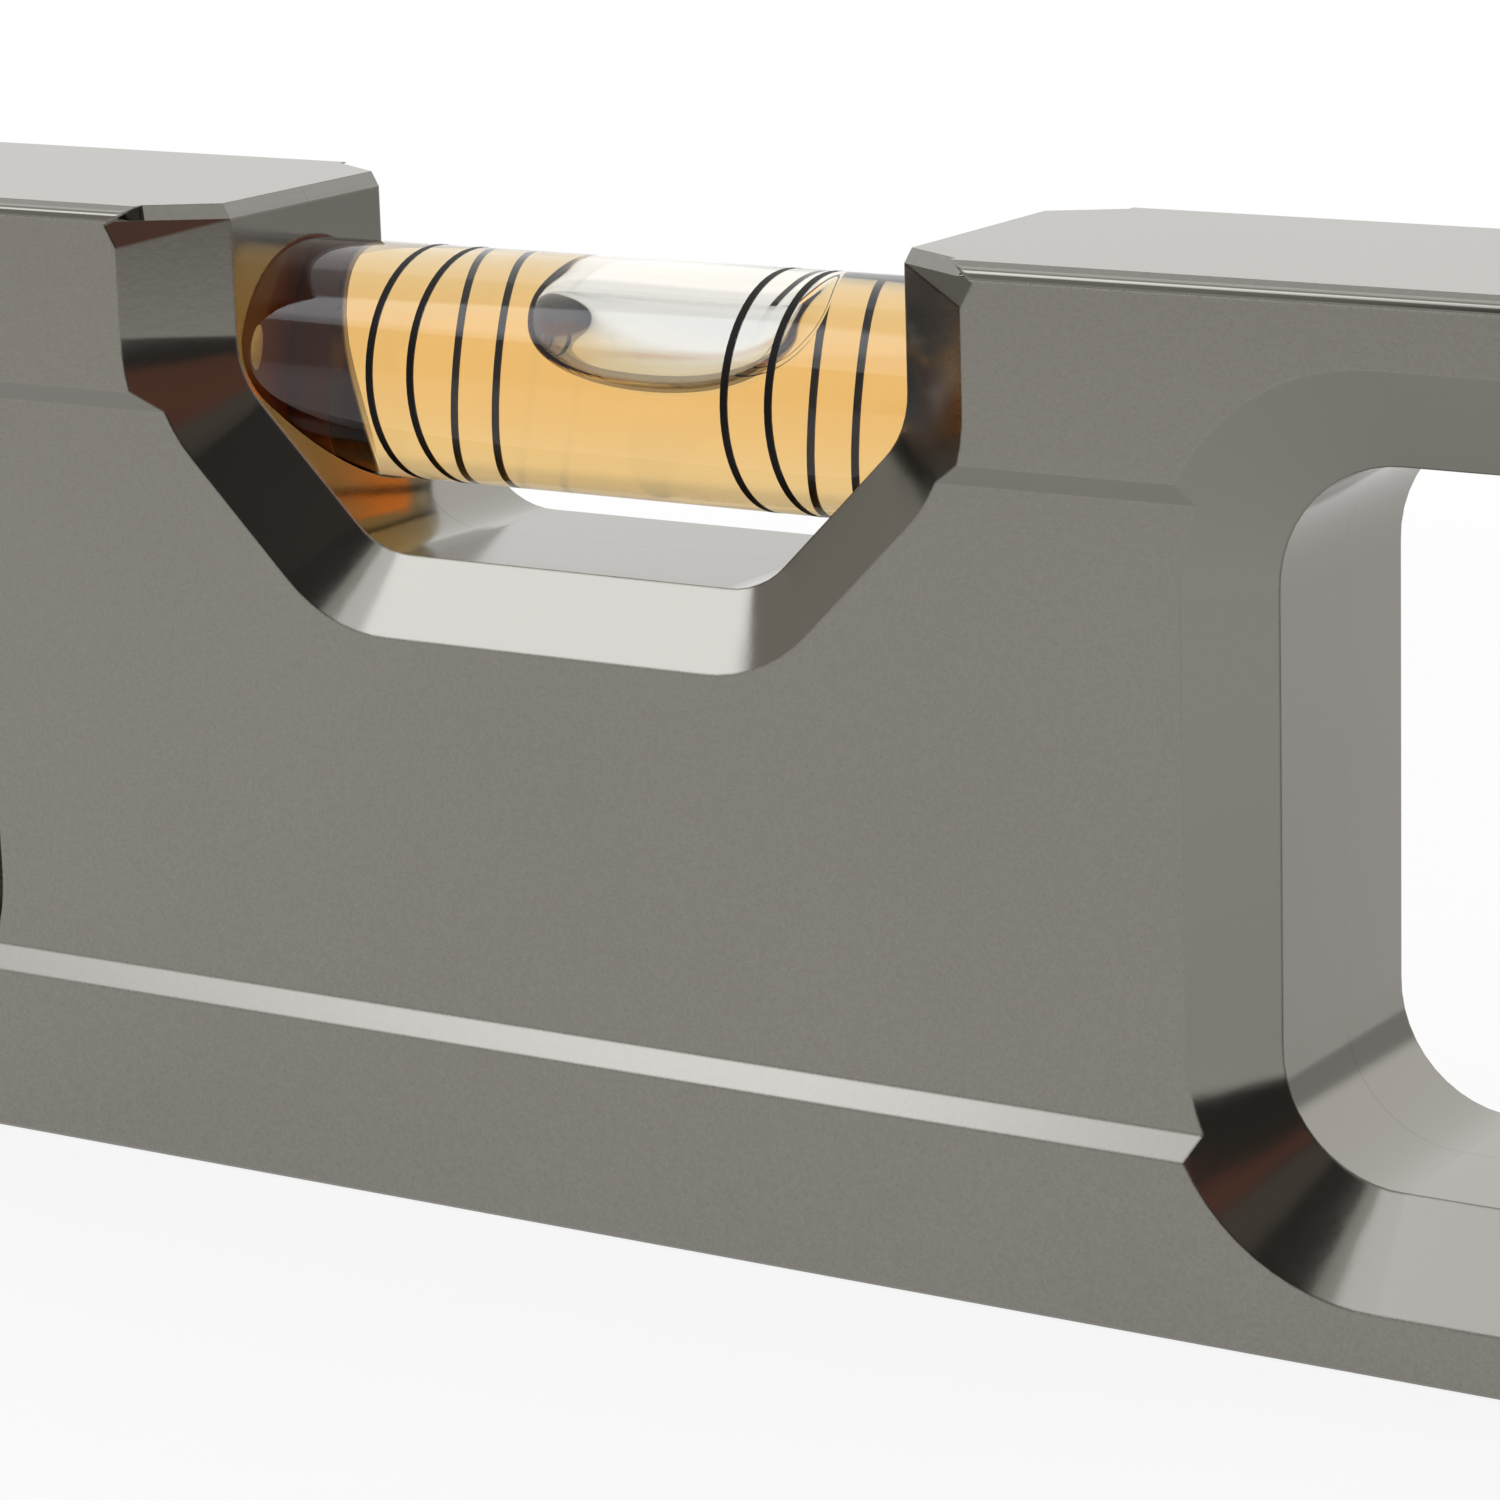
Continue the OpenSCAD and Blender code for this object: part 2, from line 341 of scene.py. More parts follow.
@dataclass(frozen=True)
class MachinedMetal:
    """Light alloy with satin outer faces, and bright walls and bevels left by the cutter.

    A pattern's name alone is the size of its grain, in metres. Names that end in
    shade say how much lighter or darker a pattern makes the metal.
    """

    name: str = "machined_metal"
    satin: Color = (0.282, 0.268, 0.240)
    bright: Color = (0.242, 0.229, 0.205)
    satin_roughness: float = 0.24
    bright_roughness: float = 0.10
    edge_radius: float = 0.13 * MM
    edge_lift: float = 1.4
    edge_start: float = 0.01
    skin: float = 0.3 * MM
    facing: Span = (0.97, 0.99)
    inward: Span = (0.1, 0.3)
    base_shade: float = 0.80
    bright_shade: float = 0.12
    grain: float = 0.13 * MM
    grain_depth: float = 0.0036 * MM
    grain_shade: float = 0.30
    grain_roughness: float = 0.08
    cloud: float = 12 * MM
    cloud_shade: float = 0.06
    drawn: float = 0.35 * MM
    drawn_stretch: Triple = (0.02, 1, 1)
    drawn_shade: float = 0.04
    chatter: float = 0.22 * MM
    chatter_stretch: Triple = (1, 0.03, 1)
    chatter_depth: float = 0.0007 * MM
    chatter_roughness: float = 0.05
    witness_width: float = 0.09 * MM
    witness_shade: float = 0.12
    witness_place: float = 0.15 * MM
    witness_worn: float = 0.7
    top_line_place: float = 1.3 * MM
    top_line_start: Span = (15 * MM, 19 * MM)
    top_line_shade: float = 0.06

    def material(self, bar: "Bar") -> bpy.types.Material:
        """Builds the metal for a bar.

        The satin finish is on every face that looks straight along Y, on the
        top, on the foot and on the ends. All other faces were left bright. Those
        that look inwards, into the notch and the windows, show the faint witness
        line where the cuts from the two sides meet.

        Args:
            bar: The bar whose faces it tells apart.

        Returns:
            The material.
        """
        material, g = new_material(self.name, self.satin)
        place = g.place()
        x, y, z = g.parts(place)
        nx, ny, nz = g.parts(g.node("ShaderNodeTexCoord", {}, {}, "Normal"))
        top = z.rise(bar.height - self.skin, bar.height - self.skin / 2)
        foot = 1.0 - z.rise(self.skin / 2, self.skin)
        ends = abs(x).rise(bar.length / 2 - self.skin, bar.length / 2 - self.skin / 2)
        side_face = abs(ny).rise(*self.facing)
        level_face = abs(nz).rise(*self.facing) * top.at_least(foot)
        upright = abs(nx).rise(*self.facing)
        satin = side_face.at_least(level_face).at_least(upright * ends)
        bright = 1.0 - satin

        grain = g.noise(place, (1, 1, 1), self.grain)
        cloud = g.noise(place, (1, 1, 1), self.cloud, 1.0)
        drawn = g.noise(place, self.drawn_stretch, self.drawn, FINE)
        chatter = g.noise(place, self.chatter_stretch, self.chatter, FINE)
        inner = bright * (1.0 - abs(ny).rise(*self.inward))
        witness = y.line(self.witness_place, self.witness_width) * inner
        witness = witness * (1.0 - self.witness_worn * upright)
        top_line = y.line(self.top_line_place, self.witness_width) * top
        top_line = top_line * abs(x).rise(*self.top_line_start)

        shade = self.base_shade + self.grain_shade * grain * satin + self.cloud_shade * cloud
        shade = shade + self.drawn_shade * drawn * top + self.bright_shade * bright
        shade = shade - self.witness_shade * witness - self.top_line_shade * top_line
        rough = satin * (self.satin_roughness + self.grain_roughness * grain)
        rough = rough + bright * (self.bright_roughness + self.chatter_roughness * chatter)
        relief = satin * grain * self.grain_depth + bright * chatter * self.chatter_depth
        relief = relief + self.rounding(bar, x, y, z)
        surface = g.principled(
            {
                "Base Color": g.scaled(g.mix(satin, self.bright, self.satin), shade),
                "Metallic": 1.0,
                "Roughness": rough,
                "Normal": g.bump(relief, 1.0, g.soft_edges(self.edge_radius)),
            }
        )
        g.end(MATERIAL_END, {"Surface": surface})
        return material

    def rounding(self, bar: "Bar", x: Value, y: Value, z: Value) -> Value:
        """The relief that makes the breaks along the top and the ends look round.

        A break cuts a corner of the bar straight off. With d the point's depth
        into the zone of the break along each axis, the round one would stand
        break - |d| higher, which is 0 at both of the break's sides.

        Args:
            bar: The bar whose edges they are.
            x: The point's place along the bar.
            y: Its place across the bar.
            z: Its height.

        Returns:
            The relief, in metres.
        """
        edge = bar.edge_break
        along = (abs(x) - (bar.length / 2 - edge)).at_least(0.0)
        across = (abs(y) - (bar.thickness / 2 - edge)).at_least(0.0)
        above = (z - (bar.height - edge)).at_least(0.0)
        reach = (along * along + across * across + above * above).root()
        broken = (along + above).rise(0.0, self.edge_start * edge)
        return broken * (edge - reach) * self.edge_lift


@dataclass(frozen=True)
class ClearPlastic:
    """Polished clear plastic of the vial's tube."""

    name: str = "clear_plastic"
    color: Color = (0.99, 0.985, 0.97)
    refraction: float = 1.49
    wave: float = 0.8 * MM
    wave_stretch: Triple = (0.2, 1, 1)
    wave_roughness: float = 0.006

    def material(self) -> bpy.types.Material:
        """Builds the plastic.

        Returns:
            The material, whose polish has faint long waves.
        """
        material, g = new_material(self.name, self.color)
        waves = g.noise(g.place(), self.wave_stretch, self.wave, 1.0)
        surface = g.principled(
            {
                "Base Color": (*self.color, 1.0),
                "Transmission Weight": 1.0,
                "IOR": self.refraction,
                "Roughness": self.wave_roughness * waves,
            }
        )
        g.end(MATERIAL_END, {"Surface": surface})
        return material


@dataclass(frozen=True)
class TintedLiquid:
    """Amber spirit that fills the vial, seen from inside the clear plastic."""

    name: str = "amber_spirit"
    color: Color = (0.92, 0.65, 0.033)
    density: float = 300.0
    refraction: float = 1.36
    hidden: str = "inner_face"

    def material(self, outside: ClearPlastic) -> bpy.types.Material:
        """Builds the liquid.

        Its outer faces bend light from the plastic into the liquid, and light
        passes straight through its inner faces, where the bubble's own surface
        does the bending.

        Args:
            outside: The plastic around it.

        Returns:
            The material.
        """
        material, g = new_material(self.name, self.color)
        hidden = g.node("ShaderNodeAttribute", {"attribute_name": self.hidden}, {}, "Fac")
        surface = g.principled(
            {
                "Base Color": (1.0, 1.0, 1.0, 1.0),
                "Transmission Weight": 1.0,
                "IOR": self.refraction / outside.refraction,
                "Roughness": 0.0,
                "Alpha": 1.0 - hidden,
            }
        )
        depth = g.node(
            "ShaderNodeVolumeAbsorption", {}, {"Color": (*self.color, 1.0), "Density": self.density}
        )
        g.end(MATERIAL_END, {"Surface": surface, "Volume": depth})
        return material


@dataclass(frozen=True)
class Air:
    """Air in the bubble, seen from inside the liquid, with a grey tint that paints shade on all that is
    seen through it.
    """

    name: str = "bubble_surface"
    # painted shade: this grey tint on the bubble's surface darkens all that is seen through the air
    color: Color = (0.79, 0.80, 0.79)
    # painted shade: an orange-brown on the bubble's lower edge, standing for light that crosses a long way
    # through the amber liquid there
    rim_painted_shade: Color = (0.50, 0.17, 0.03)
    wave: float = 1.0 * MM
    wave_roughness: float = 0.002

    def material(self, outside: TintedLiquid, bubble: "Bubble", axis_height: float) -> bpy.types.Material:
        """Builds the boundary between the liquid and the air.

        Args:
            outside: The liquid that the bubble lies in.
            bubble: The bubble, which says where its lower edge is.
            axis_height: The height of the vial's axis.

        Returns:
            The material, grey all over as painted shade, with a painted orange-brown shade on its lower
            edge, where light crosses a long way through the liquid that climbs the wall round the bubble.
        """
        material, g = new_material(self.name, self.color)
        surface = g.principled(
            {
                # painted shade: the grey tint all over, and the orange-brown painted rim shade on the lower
                # edge
                "Base Color": g.mix(bubble.lower_edge(g, axis_height), self.color, self.rim_painted_shade),
                "Transmission Weight": 1.0,
                "IOR": 1.0 / outside.refraction,
                "Roughness": self.wave_roughness * g.noise(g.place(), (1, 1, 1), self.wave, 1.0),
            }
        )
        g.end(MATERIAL_END, {"Surface": surface})
        return material


@dataclass(frozen=True)
class Opaque:
    """A plain opaque finish with a fine grain in its colour and its surface."""

    name: str
    color: Color
    roughness: float
    metallic: float = 0.0
    grain: float = 0.2 * MM
    stretch: Triple = (1.0, 1.0, 1.0)
    variation: float = 0.2
    gloss: float = 0.5
    roughness_low: float = 0.85
    roughness_range: float = 0.3
    relief: float = 0.01

    def material(self) -> bpy.types.Material:
        """Builds the finish.

        Returns:
            The material, whose relief is a share of its grain.
        """
        material, g = new_material(self.name, self.color)
        grain = g.noise(g.place(), self.stretch, self.grain, FINE)
        tone = g.scaled(self.color, 1.0 - self.variation / 2 + self.variation * grain)
        surface = g.principled(
            {
                "Base Color": tone,
                "Metallic": self.metallic,
                "Roughness": self.roughness * (self.roughness_low + self.roughness_range * grain),
                "Specular IOR Level": self.gloss,
                "Normal": g.bump(grain, self.relief * self.grain),
            }
        )
        g.end(MATERIAL_END, {"Surface": surface})
        return material


def dress(target: bpy.types.Object, material: bpy.types.Material) -> None:
    """Gives an object one material in place of all that it has.

    Args:
        target: The object.
        material: Its new material.
    """
    target.data.materials.clear()
    target.data.materials.append(material)


def shell(name: str, loops: np.ndarray, start: np.ndarray, end: np.ndarray) -> bpy.types.Object:
    """Makes a closed surface from loops of points, from one pole to the other.

    Point j of loop i is joined to its neighbours j - 1 and j + 1 of the same loop
    and to point j of loops i - 1 and i + 1, and each pole to all of its loop. The
    faces are turned outwards by the sign of the volume that they enclose.

    Args:
        name: The object's name.
        loops: Points by loop, place in the loop and coordinate, in metres.
        start: The pole before the first loop.
        end: The pole after the last loop.

    Returns:
        The object, smooth but for its sharp edges.
    """
    rows, columns = loops.shape[:2]
    points = np.vstack([start[None], loops.reshape(-1, 3), end[None]])
    index = 1 + np.arange(rows * columns).reshape(rows, columns)
    beside = np.roll(index, -1, axis=1)
    quads = np.stack([index[:-1], beside[:-1], beside[1:], index[1:]], axis=-1).reshape(-1, 4)
    last = len(points) - 1
    first_fan = np.stack([np.zeros(columns, int), beside[0], index[0]], axis=-1)
    last_fan = np.stack([np.full(columns, last), index[-1], beside[-1]], axis=-1)
    triangles = np.vstack([first_fan, quads[:, [0, 1, 2]], quads[:, [0, 2, 3]], last_fan])
    corners = points[triangles]
    volume = np.einsum("ij,ij->", corners[:, 0], np.cross(corners[:, 1], corners[:, 2]))
    faces = [*first_fan.tolist(), *quads.tolist(), *last_fan.tolist()]
    if volume < 0:
        faces = [face[::-1] for face in faces]
    mesh = bpy.data.meshes.new(name)
    mesh.from_pydata(points.tolist(), [], faces)
    mesh.shade_smooth()
    mesh.set_sharp_from_angle(angle=math.radians(SHARP_DEGREES))
    mesh.update()
    made = bpy.data.objects.new(name, mesh)
    bpy.context.scene.collection.objects.link(made)
    return made


def ring_of(radius: Union[float, np.ndarray], angles: np.ndarray) -> np.ndarray:
    """Points about an axis: (radius cos angle, radius sin angle)."""
    return np.stack([radius * np.cos(angles), radius * np.sin(angles)], axis=-1)


@dataclass
class Bar:
    """The machined bar. Its shape is the frame's own node."""

    length: float
    thickness: float
    height: float
    edge_break: float = 0.5 * MM
    metal: MachinedMetal = field(default_factory=MachinedMetal)

    @classmethod
    def from_frame(cls) -> "Bar":
        """The bar with its size from the frame's node."""
        low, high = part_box("body")
        return cls(*(high - low))

    def build(self, nodes: dict[str, bpy.types.Object]) -> None:
        """Dresses the bar.

        Args:
            nodes: The frame's nodes, by name.
        """
        dress(nodes["body"], self.metal.material(self))
        LOG.info("bar: dressed body in %s", self.metal.name)


@dataclass
class Bubble:
    """The air bubble: flat below, pressed to the chamber's wall above, with rounded ends.

    Its heights are measured from the vial's axis, and its powers say how square
    its curves are: 2 is an ellipse, and more is closer to a box.
    """

    centre: float
    half_length: float = 5.15 * MM
    ceiling: float = 2.87 * MM
    nose: float = 1.7 * MM
    floor: float = -0.25 * MM
    half_width: float = 3.1 * MM
    top_power: float = 6.0
    bottom_power: float = 2.1
    side_power: float = 3.2
    section_power: float = 2.4
    join_power: float = 12.0
    # spans of the mask that takes the painted rim shade
    edge_inwards: Span = (0.45, 0.80)
    edge_upwards: Span = (0.05 * MM, 0.65 * MM)
    air: Air = field(default_factory=Air)

    @classmethod
    def from_frame(cls) -> "Bubble":
        """The bubble with its middle from the frame's node."""
        low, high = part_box("bubble")
        return cls((low.x + high.x) / 2)

    def limits(self, inset: float, stations: np.ndarray) -> tuple[np.ndarray, ...]:
        """The top, the bottom and the half width of the bubble's sections.

        With s the station, and f(s, p) = (1 - |s|^p)^(1/p), the section's top is
        nose + (ceiling - nose) f(s, top power), its bottom is
        nose - (nose - floor) f(s, bottom power), and its half width is the full
        one times f(s, side power).

        Args:
            inset: How far the surface lies inside the bubble's limits.
            stations: Places along the bubble, each between -1 and 1.

        Returns:
            Three columns with one number for each station.
        """

        def bulge(power: float) -> np.ndarray:
            """The share of its full size that a limit has at each station."""
            return (1.0 - np.abs(stations[:, None]) ** power) ** (1.0 / power)

        top = self.nose + (self.ceiling - inset - self.nose) * bulge(self.top_power)
        bottom = self.nose - (self.nose - self.floor - inset) * bulge(self.bottom_power)
        return top, bottom, (self.half_width - inset) * bulge(self.side_power)

    def lower_edge(self, g: Graph, axis_height: float) -> Value:
        """Where the bubble's lower edge is: the mask of the painted rim shade.

        Inwards it follows the sum of squares of the shares of the half width and of
        the half length, and upwards the height over the vial's axis.

        Args:
            g: The graph of the bubble's finish.
            axis_height: The height of the vial's axis.

        Returns:
            1 on the edge, falling to 0 inwards and upwards.
        """
        x, y, z = g.parts(g.place())
        across, along = y / self.half_width, (x - self.centre) / self.half_length
        outer = (across * across + along * along).rise(*self.edge_inwards)
        return outer * (1.0 - (z - axis_height).rise(*self.edge_upwards))

    @staticmethod
    def way(middle: Union[float, np.ndarray], wall: float, angles: np.ndarray) -> np.ndarray:
        """The way from a section's middle to a round wall.

        With m the middle's height over the axis and t the angle, the way is
        sqrt(wall^2 - (m cos t)^2) - m sin t.

        Args:
            middle: The height of the middle over the axis, one number or a column.
            wall: The wall's radius.
            angles: Directions from the middle, from +Y towards +Z.

        Returns:
            The way in each direction.
        """
        return np.sqrt(wall**2 - (middle * np.cos(angles)) ** 2) - middle * np.sin(angles)

    def loops(self, inset: float, stations: np.ndarray, angles: np.ndarray) -> np.ndarray:
        """Sections of the bubble across the vial.

        Each section is a rounded box about its middle, with p the section's power:
        |y / half width|^p + |z / half height|^p = 1. The reach of that curve and the
        way to the chamber's wall are then joined by a smooth minimum, with q the
        join's power: the -1/q power of the sum of their -q powers.

        Args:
            inset: How far the surface lies inside the bubble's limits.
            stations: Places along the bubble, each between -1 and 1.
            angles: Directions from the section's middle, from +Y towards +Z.

        Returns:
            Points by station and angle, about the vial's axis.
        """
        top, bottom, width = self.limits(inset, stations)
        middle, half_height = (top + bottom) / 2, (top - bottom) / 2
        cos, sin = np.cos(angles)[None, :], np.sin(angles)[None, :]
        to_wall = self.way(middle, self.ceiling - inset, angles[None, :])
        p, q = self.section_power, self.join_power
        box = ((np.abs(cos) / width) ** p + (np.abs(sin) / half_height) ** p) ** (-1 / p)
        radius = (box**-q + to_wall**-q) ** (-1 / q)
        along = self.centre + (self.half_length - inset) * stations[:, None]
        return np.stack([along + 0 * radius, radius * cos, middle + radius * sin], axis=-1)

    def pole(self, inset: float, side: Side) -> np.ndarray:
        """The bubble's tip at one end, about the vial's axis."""
        return np.array([self.centre + side.value * (self.half_length - inset), 0.0, self.nose])


@dataclass
class Vial:
    """The tubular vial: clear tube, amber liquid and air bubble."""

    axis_height: float
    radius: float
    half_length: float
    chamber_radius: float
    chamber_half: float
    bore_radius: float
    bore_depths: Span
    bubble: Bubble
    end_rounding: float = 0.3 * MM
    film: float = 0.006 * MM
    inset: float = 0.01 * MM
    parting: float = 0.003 * MM
    mouth: float = 13.02 * MM
    steps_round: int = 128
    steps_rim: int = 7
    steps_column: int = 48
    steps_bubble: int = 81
    plastic: ClearPlastic = field(default_factory=ClearPlastic)
    liquid: TintedLiquid = field(default_factory=TintedLiquid)
    ink: Opaque = Opaque("ring_ink", (0.008, 0.006, 0.005), 0.5, gloss=0.15)
    compound: Opaque = Opaque("setting_compound", (0.20, 0.05, 0.03), 0.55)
    plug: Opaque = Opaque("plug_plastic", (0.20, 0.05, 0.03), 0.35)
    pin: Opaque = Opaque("turned_steel", (0.55, 0.55, 0.55), 0.25, 1.0)

    @classmethod
    def from_frame(cls) -> "Vial":
        """The vial with its place and sizes from the frame's nodes.

        The new surfaces lie a film or an inset inside the solids that they stand for.

        Returns:
            The vial.
        """
        plug_low, plug_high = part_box("vial_plug")
        tube_low, tube_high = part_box("vial_barrel")
        liquid_low, liquid_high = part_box("vial_liquid")
        left_low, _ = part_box("setting_left")
        _, right_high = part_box("setting_right")
        axis_height = (plug_low.z + plug_high.z) / 2
        return cls(
            axis_height=axis_height,
            radius=axis_height - tube_low.z - cls.film,
            half_length=tube_high.x - cls.inset,
            chamber_radius=axis_height - liquid_low.z,
            chamber_half=liquid_high.x - cls.inset,
            bore_radius=axis_height - left_low.z - cls.inset,
            bore_depths=(-left_low.x - cls.inset, right_high.x - cls.inset),
            bubble=Bubble.from_frame(),
        )

    def angles(self) -> np.ndarray:
        """Directions round the axis, from +Y towards +Z."""
        return np.linspace(0, 2 * np.pi, self.steps_round, endpoint=False)

    def lift(self, points: np.ndarray) -> np.ndarray:
        """Moves points given about the vial's axis to their place in the bar."""
        return points + np.array([0.0, 0.0, self.axis_height])

    def turned(self, x: np.ndarray, radii: np.ndarray) -> np.ndarray:
        """Loops of a turned surface: at each place, a circle about the axis.

        Args:
            x: Places along the axis.
            radii: The circle's radius at each place.

        Returns:
            Points by place, angle and coordinate.
        """
        circles = ring_of(radii[:, None], self.angles()[None, :])
        along = np.broadcast_to(x[:, None, None], (*circles.shape[:2], 1))
        return self.lift(np.concatenate([along, circles], axis=-1))

    def tube(self) -> bpy.types.Object:
        """The tube's outer surface: a cylinder whose rims are quarter circles.

        Returns:
            The tube.
        """
        turn = np.linspace(0, np.pi / 2, self.steps_rim)
        rim_x = self.half_length - self.end_rounding * (1 - np.sin(turn))
        rim_radius = self.radius - self.end_rounding * (1 - np.cos(turn))
        x = np.concatenate([-rim_x[::-1], rim_x])
        radii = np.concatenate([rim_radius[::-1], rim_radius])
        ends = [self.lift(np.array([s * self.half_length, 0.0, 0.0])) for s in (-1, 1)]
        made = shell("vial_tube", self.turned(x, radii), *ends)
        dress(made, self.plastic.material())
        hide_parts("vial_barrel")
        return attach(made, LEVEL_BODY)

    def column(self, side: Side, material: bpy.types.Material) -> bpy.types.Object:
        """The liquid on one side of the bubble's middle.

        The surface starts at the chamber's end, runs along its wall to the
        bubble's middle, crosses the liquid there to the bubble's section, and
        follows the bubble back to its tip. The two columns are parted by a hair,
        so that light meets one after the other.
        The points on the wall lie in the same directions from the section's middle
        as the bubble's own points, so that the face between them has no folds.

        Args:
            side: The side of the bubble.
            material: The liquid's finish.

        Returns:
            The column.
        """
        end = side.value * self.chamber_half
        tip = self.bubble.pole(0.0, side)[0]
        wall_x = np.array([end, tip, self.bubble.centre + side.value * self.parting / 2])
        top, bottom, _ = self.bubble.limits(0.0, np.zeros(1))
        middle = float(top[0, 0] + bottom[0, 0]) / 2
        circle = ring_of(self.bubble.way(middle, self.chamber_radius, self.angles()), self.angles())
        circle = circle + np.array([0.0, middle])
        wall = self.lift(np.array([[(x, *point) for point in circle] for x in wall_x]))
        first = math.asin(self.parting / 2 / self.bubble.half_length)
        stations = side.value * np.sin(np.linspace(first, np.pi / 2, self.steps_column)[:-1])
        hollow = self.lift(self.bubble.loops(0.0, stations, self.angles()))
        made = shell(
            f"liquid_{side.name.lower()}",
            np.concatenate([wall, hollow]),
            self.lift(np.array([end, 0.0, 0.0])),
            self.lift(self.bubble.pole(0.0, side)),
        )
        outer = self.steps_round * len(wall_x)
        inner = made.data.attributes.new(self.liquid.hidden, "FLOAT", "FACE")
        inner.data.foreach_set("value", (np.arange(len(made.data.polygons)) >= outer).astype(np.float32))
        dress(made, material)
        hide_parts("vial_liquid")
        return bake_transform(made)

    def air(self) -> bpy.types.Object:
        """The bubble's own surface, a film inside the hollow of the liquid.

        Returns:
            The bubble.
        """
        stations = np.sin(np.linspace(-np.pi / 2, np.pi / 2, self.steps_bubble)[1:-1])
        made = shell(
            "air_bubble",
            self.lift(self.bubble.loops(self.film, stations, self.angles())),
            self.lift(self.bubble.pole(self.film, Side.LEFT)),
            self.lift(self.bubble.pole(self.film, Side.RIGHT)),
        )
        dress(made, self.bubble.air.material(self.liquid, self.bubble, self.axis_height))
        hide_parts("bubble")
        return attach(made, BUBBLE_BODY)

    def setting(self, side: Side, material: bpy.types.Material) -> bpy.types.Object:
        """The compound round one end of the tube, and beyond it in the bore.

        A turned cup: solid from the bore's bottom to the tube's end, and from there
        to the bore's mouth a thin sleeve, which wets the tube.

        Args:
            side: The end of the vial.
            material: The compound's finish.

        Returns:
            The cast compound.
        """
        depth = self.bore_depths[side is Side.RIGHT]
        tube_end = self.half_length + self.film
        x = side.value * np.array([depth, self.mouth, self.mouth, tube_end])
        wetted = self.radius - self.film
        made = shell(
            f"compound_{side.name.lower()}",
            self.turned(x, np.array([self.bore_radius, self.bore_radius, wetted, wetted])),
            self.lift(np.array([x[0], 0.0, 0.0])),
            self.lift(np.array([x[-1], 0.0, 0.0])),
        )
        dress(made, material)
        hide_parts(f"setting_{side.name.lower()}")
        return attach(made, LEVEL_BODY)

    def build(self, nodes: dict[str, bpy.types.Object]) -> None:
        """Builds the vial's clear pieces and its setting, and dresses its opaque nodes.

        Args:
            nodes: The frame's nodes, by name.
        """
        self.tube()
        LOG.info("vial: built the tube")
        spirit = self.liquid.material(self.plastic)
        for side in Side:
            column = self.column(side, spirit)
            LOG.info("vial: built %s", column.name)
        self.air()
        LOG.info("vial: built the bubble")
        ink, compound = self.ink.material(), self.compound.material()
        for name in ("left_outer", "left_inner", "right_inner", "right_outer"):
            dress(nodes[f"ring_{name}"], ink)
        for side in Side:
            cast = self.setting(side, compound)
            LOG.info("vial: built %s", cast.name)
        dress(nodes["vial_plug"], self.plug.material())
        dress(nodes["vial_fill_pin"], self.pin.material())
        LOG.info("vial: dressed the rings, the plug and its pin")


@dataclass
class Magnets:
    """The round magnets in their steel cups."""

    count: int = 4
    cup: Opaque = Opaque(
        "plated_steel", (0.56, 0.56, 0.55), 0.28, 1.0, 0.3 * MM, (1.0, 1.0, 0.1), variation=0.1
    )
    core: Opaque = Opaque("nickel_plate", (0.5, 0.49, 0.46), 0.18, 1.0, 0.4 * MM, variation=0.08)

    def build(self, nodes: dict[str, bpy.types.Object]) -> None:
        """Dresses the cups and the magnets.

        Args:
            nodes: The frame's nodes, by name.
        """
        cup, core = self.cup.material(), self.core.material()
        for number in range(1, self.count + 1):
            dress(nodes[f"magnet_cup_{number}"], cup)
            dress(nodes[f"magnet_{number}"], core)
        LOG.info("magnets: dressed %d cups and magnets", self.count)


@dataclass(frozen=True)
class Card:
    """A soft-edged panel of the studio, by the directions that it fills, in degrees.

    Bearings run from the bar's left, through its front, to its right.
    """

    bearings: Span
    heights: Span
    color: Color
    soft: float = 2.0

    def cover(self, bearing: Value, height: Value) -> Value:
        """How much of the panel is seen in a direction, from 0 to 1."""
        return bearing.between(*self.bearings, self.soft) * height.between(*self.heights, self.soft)


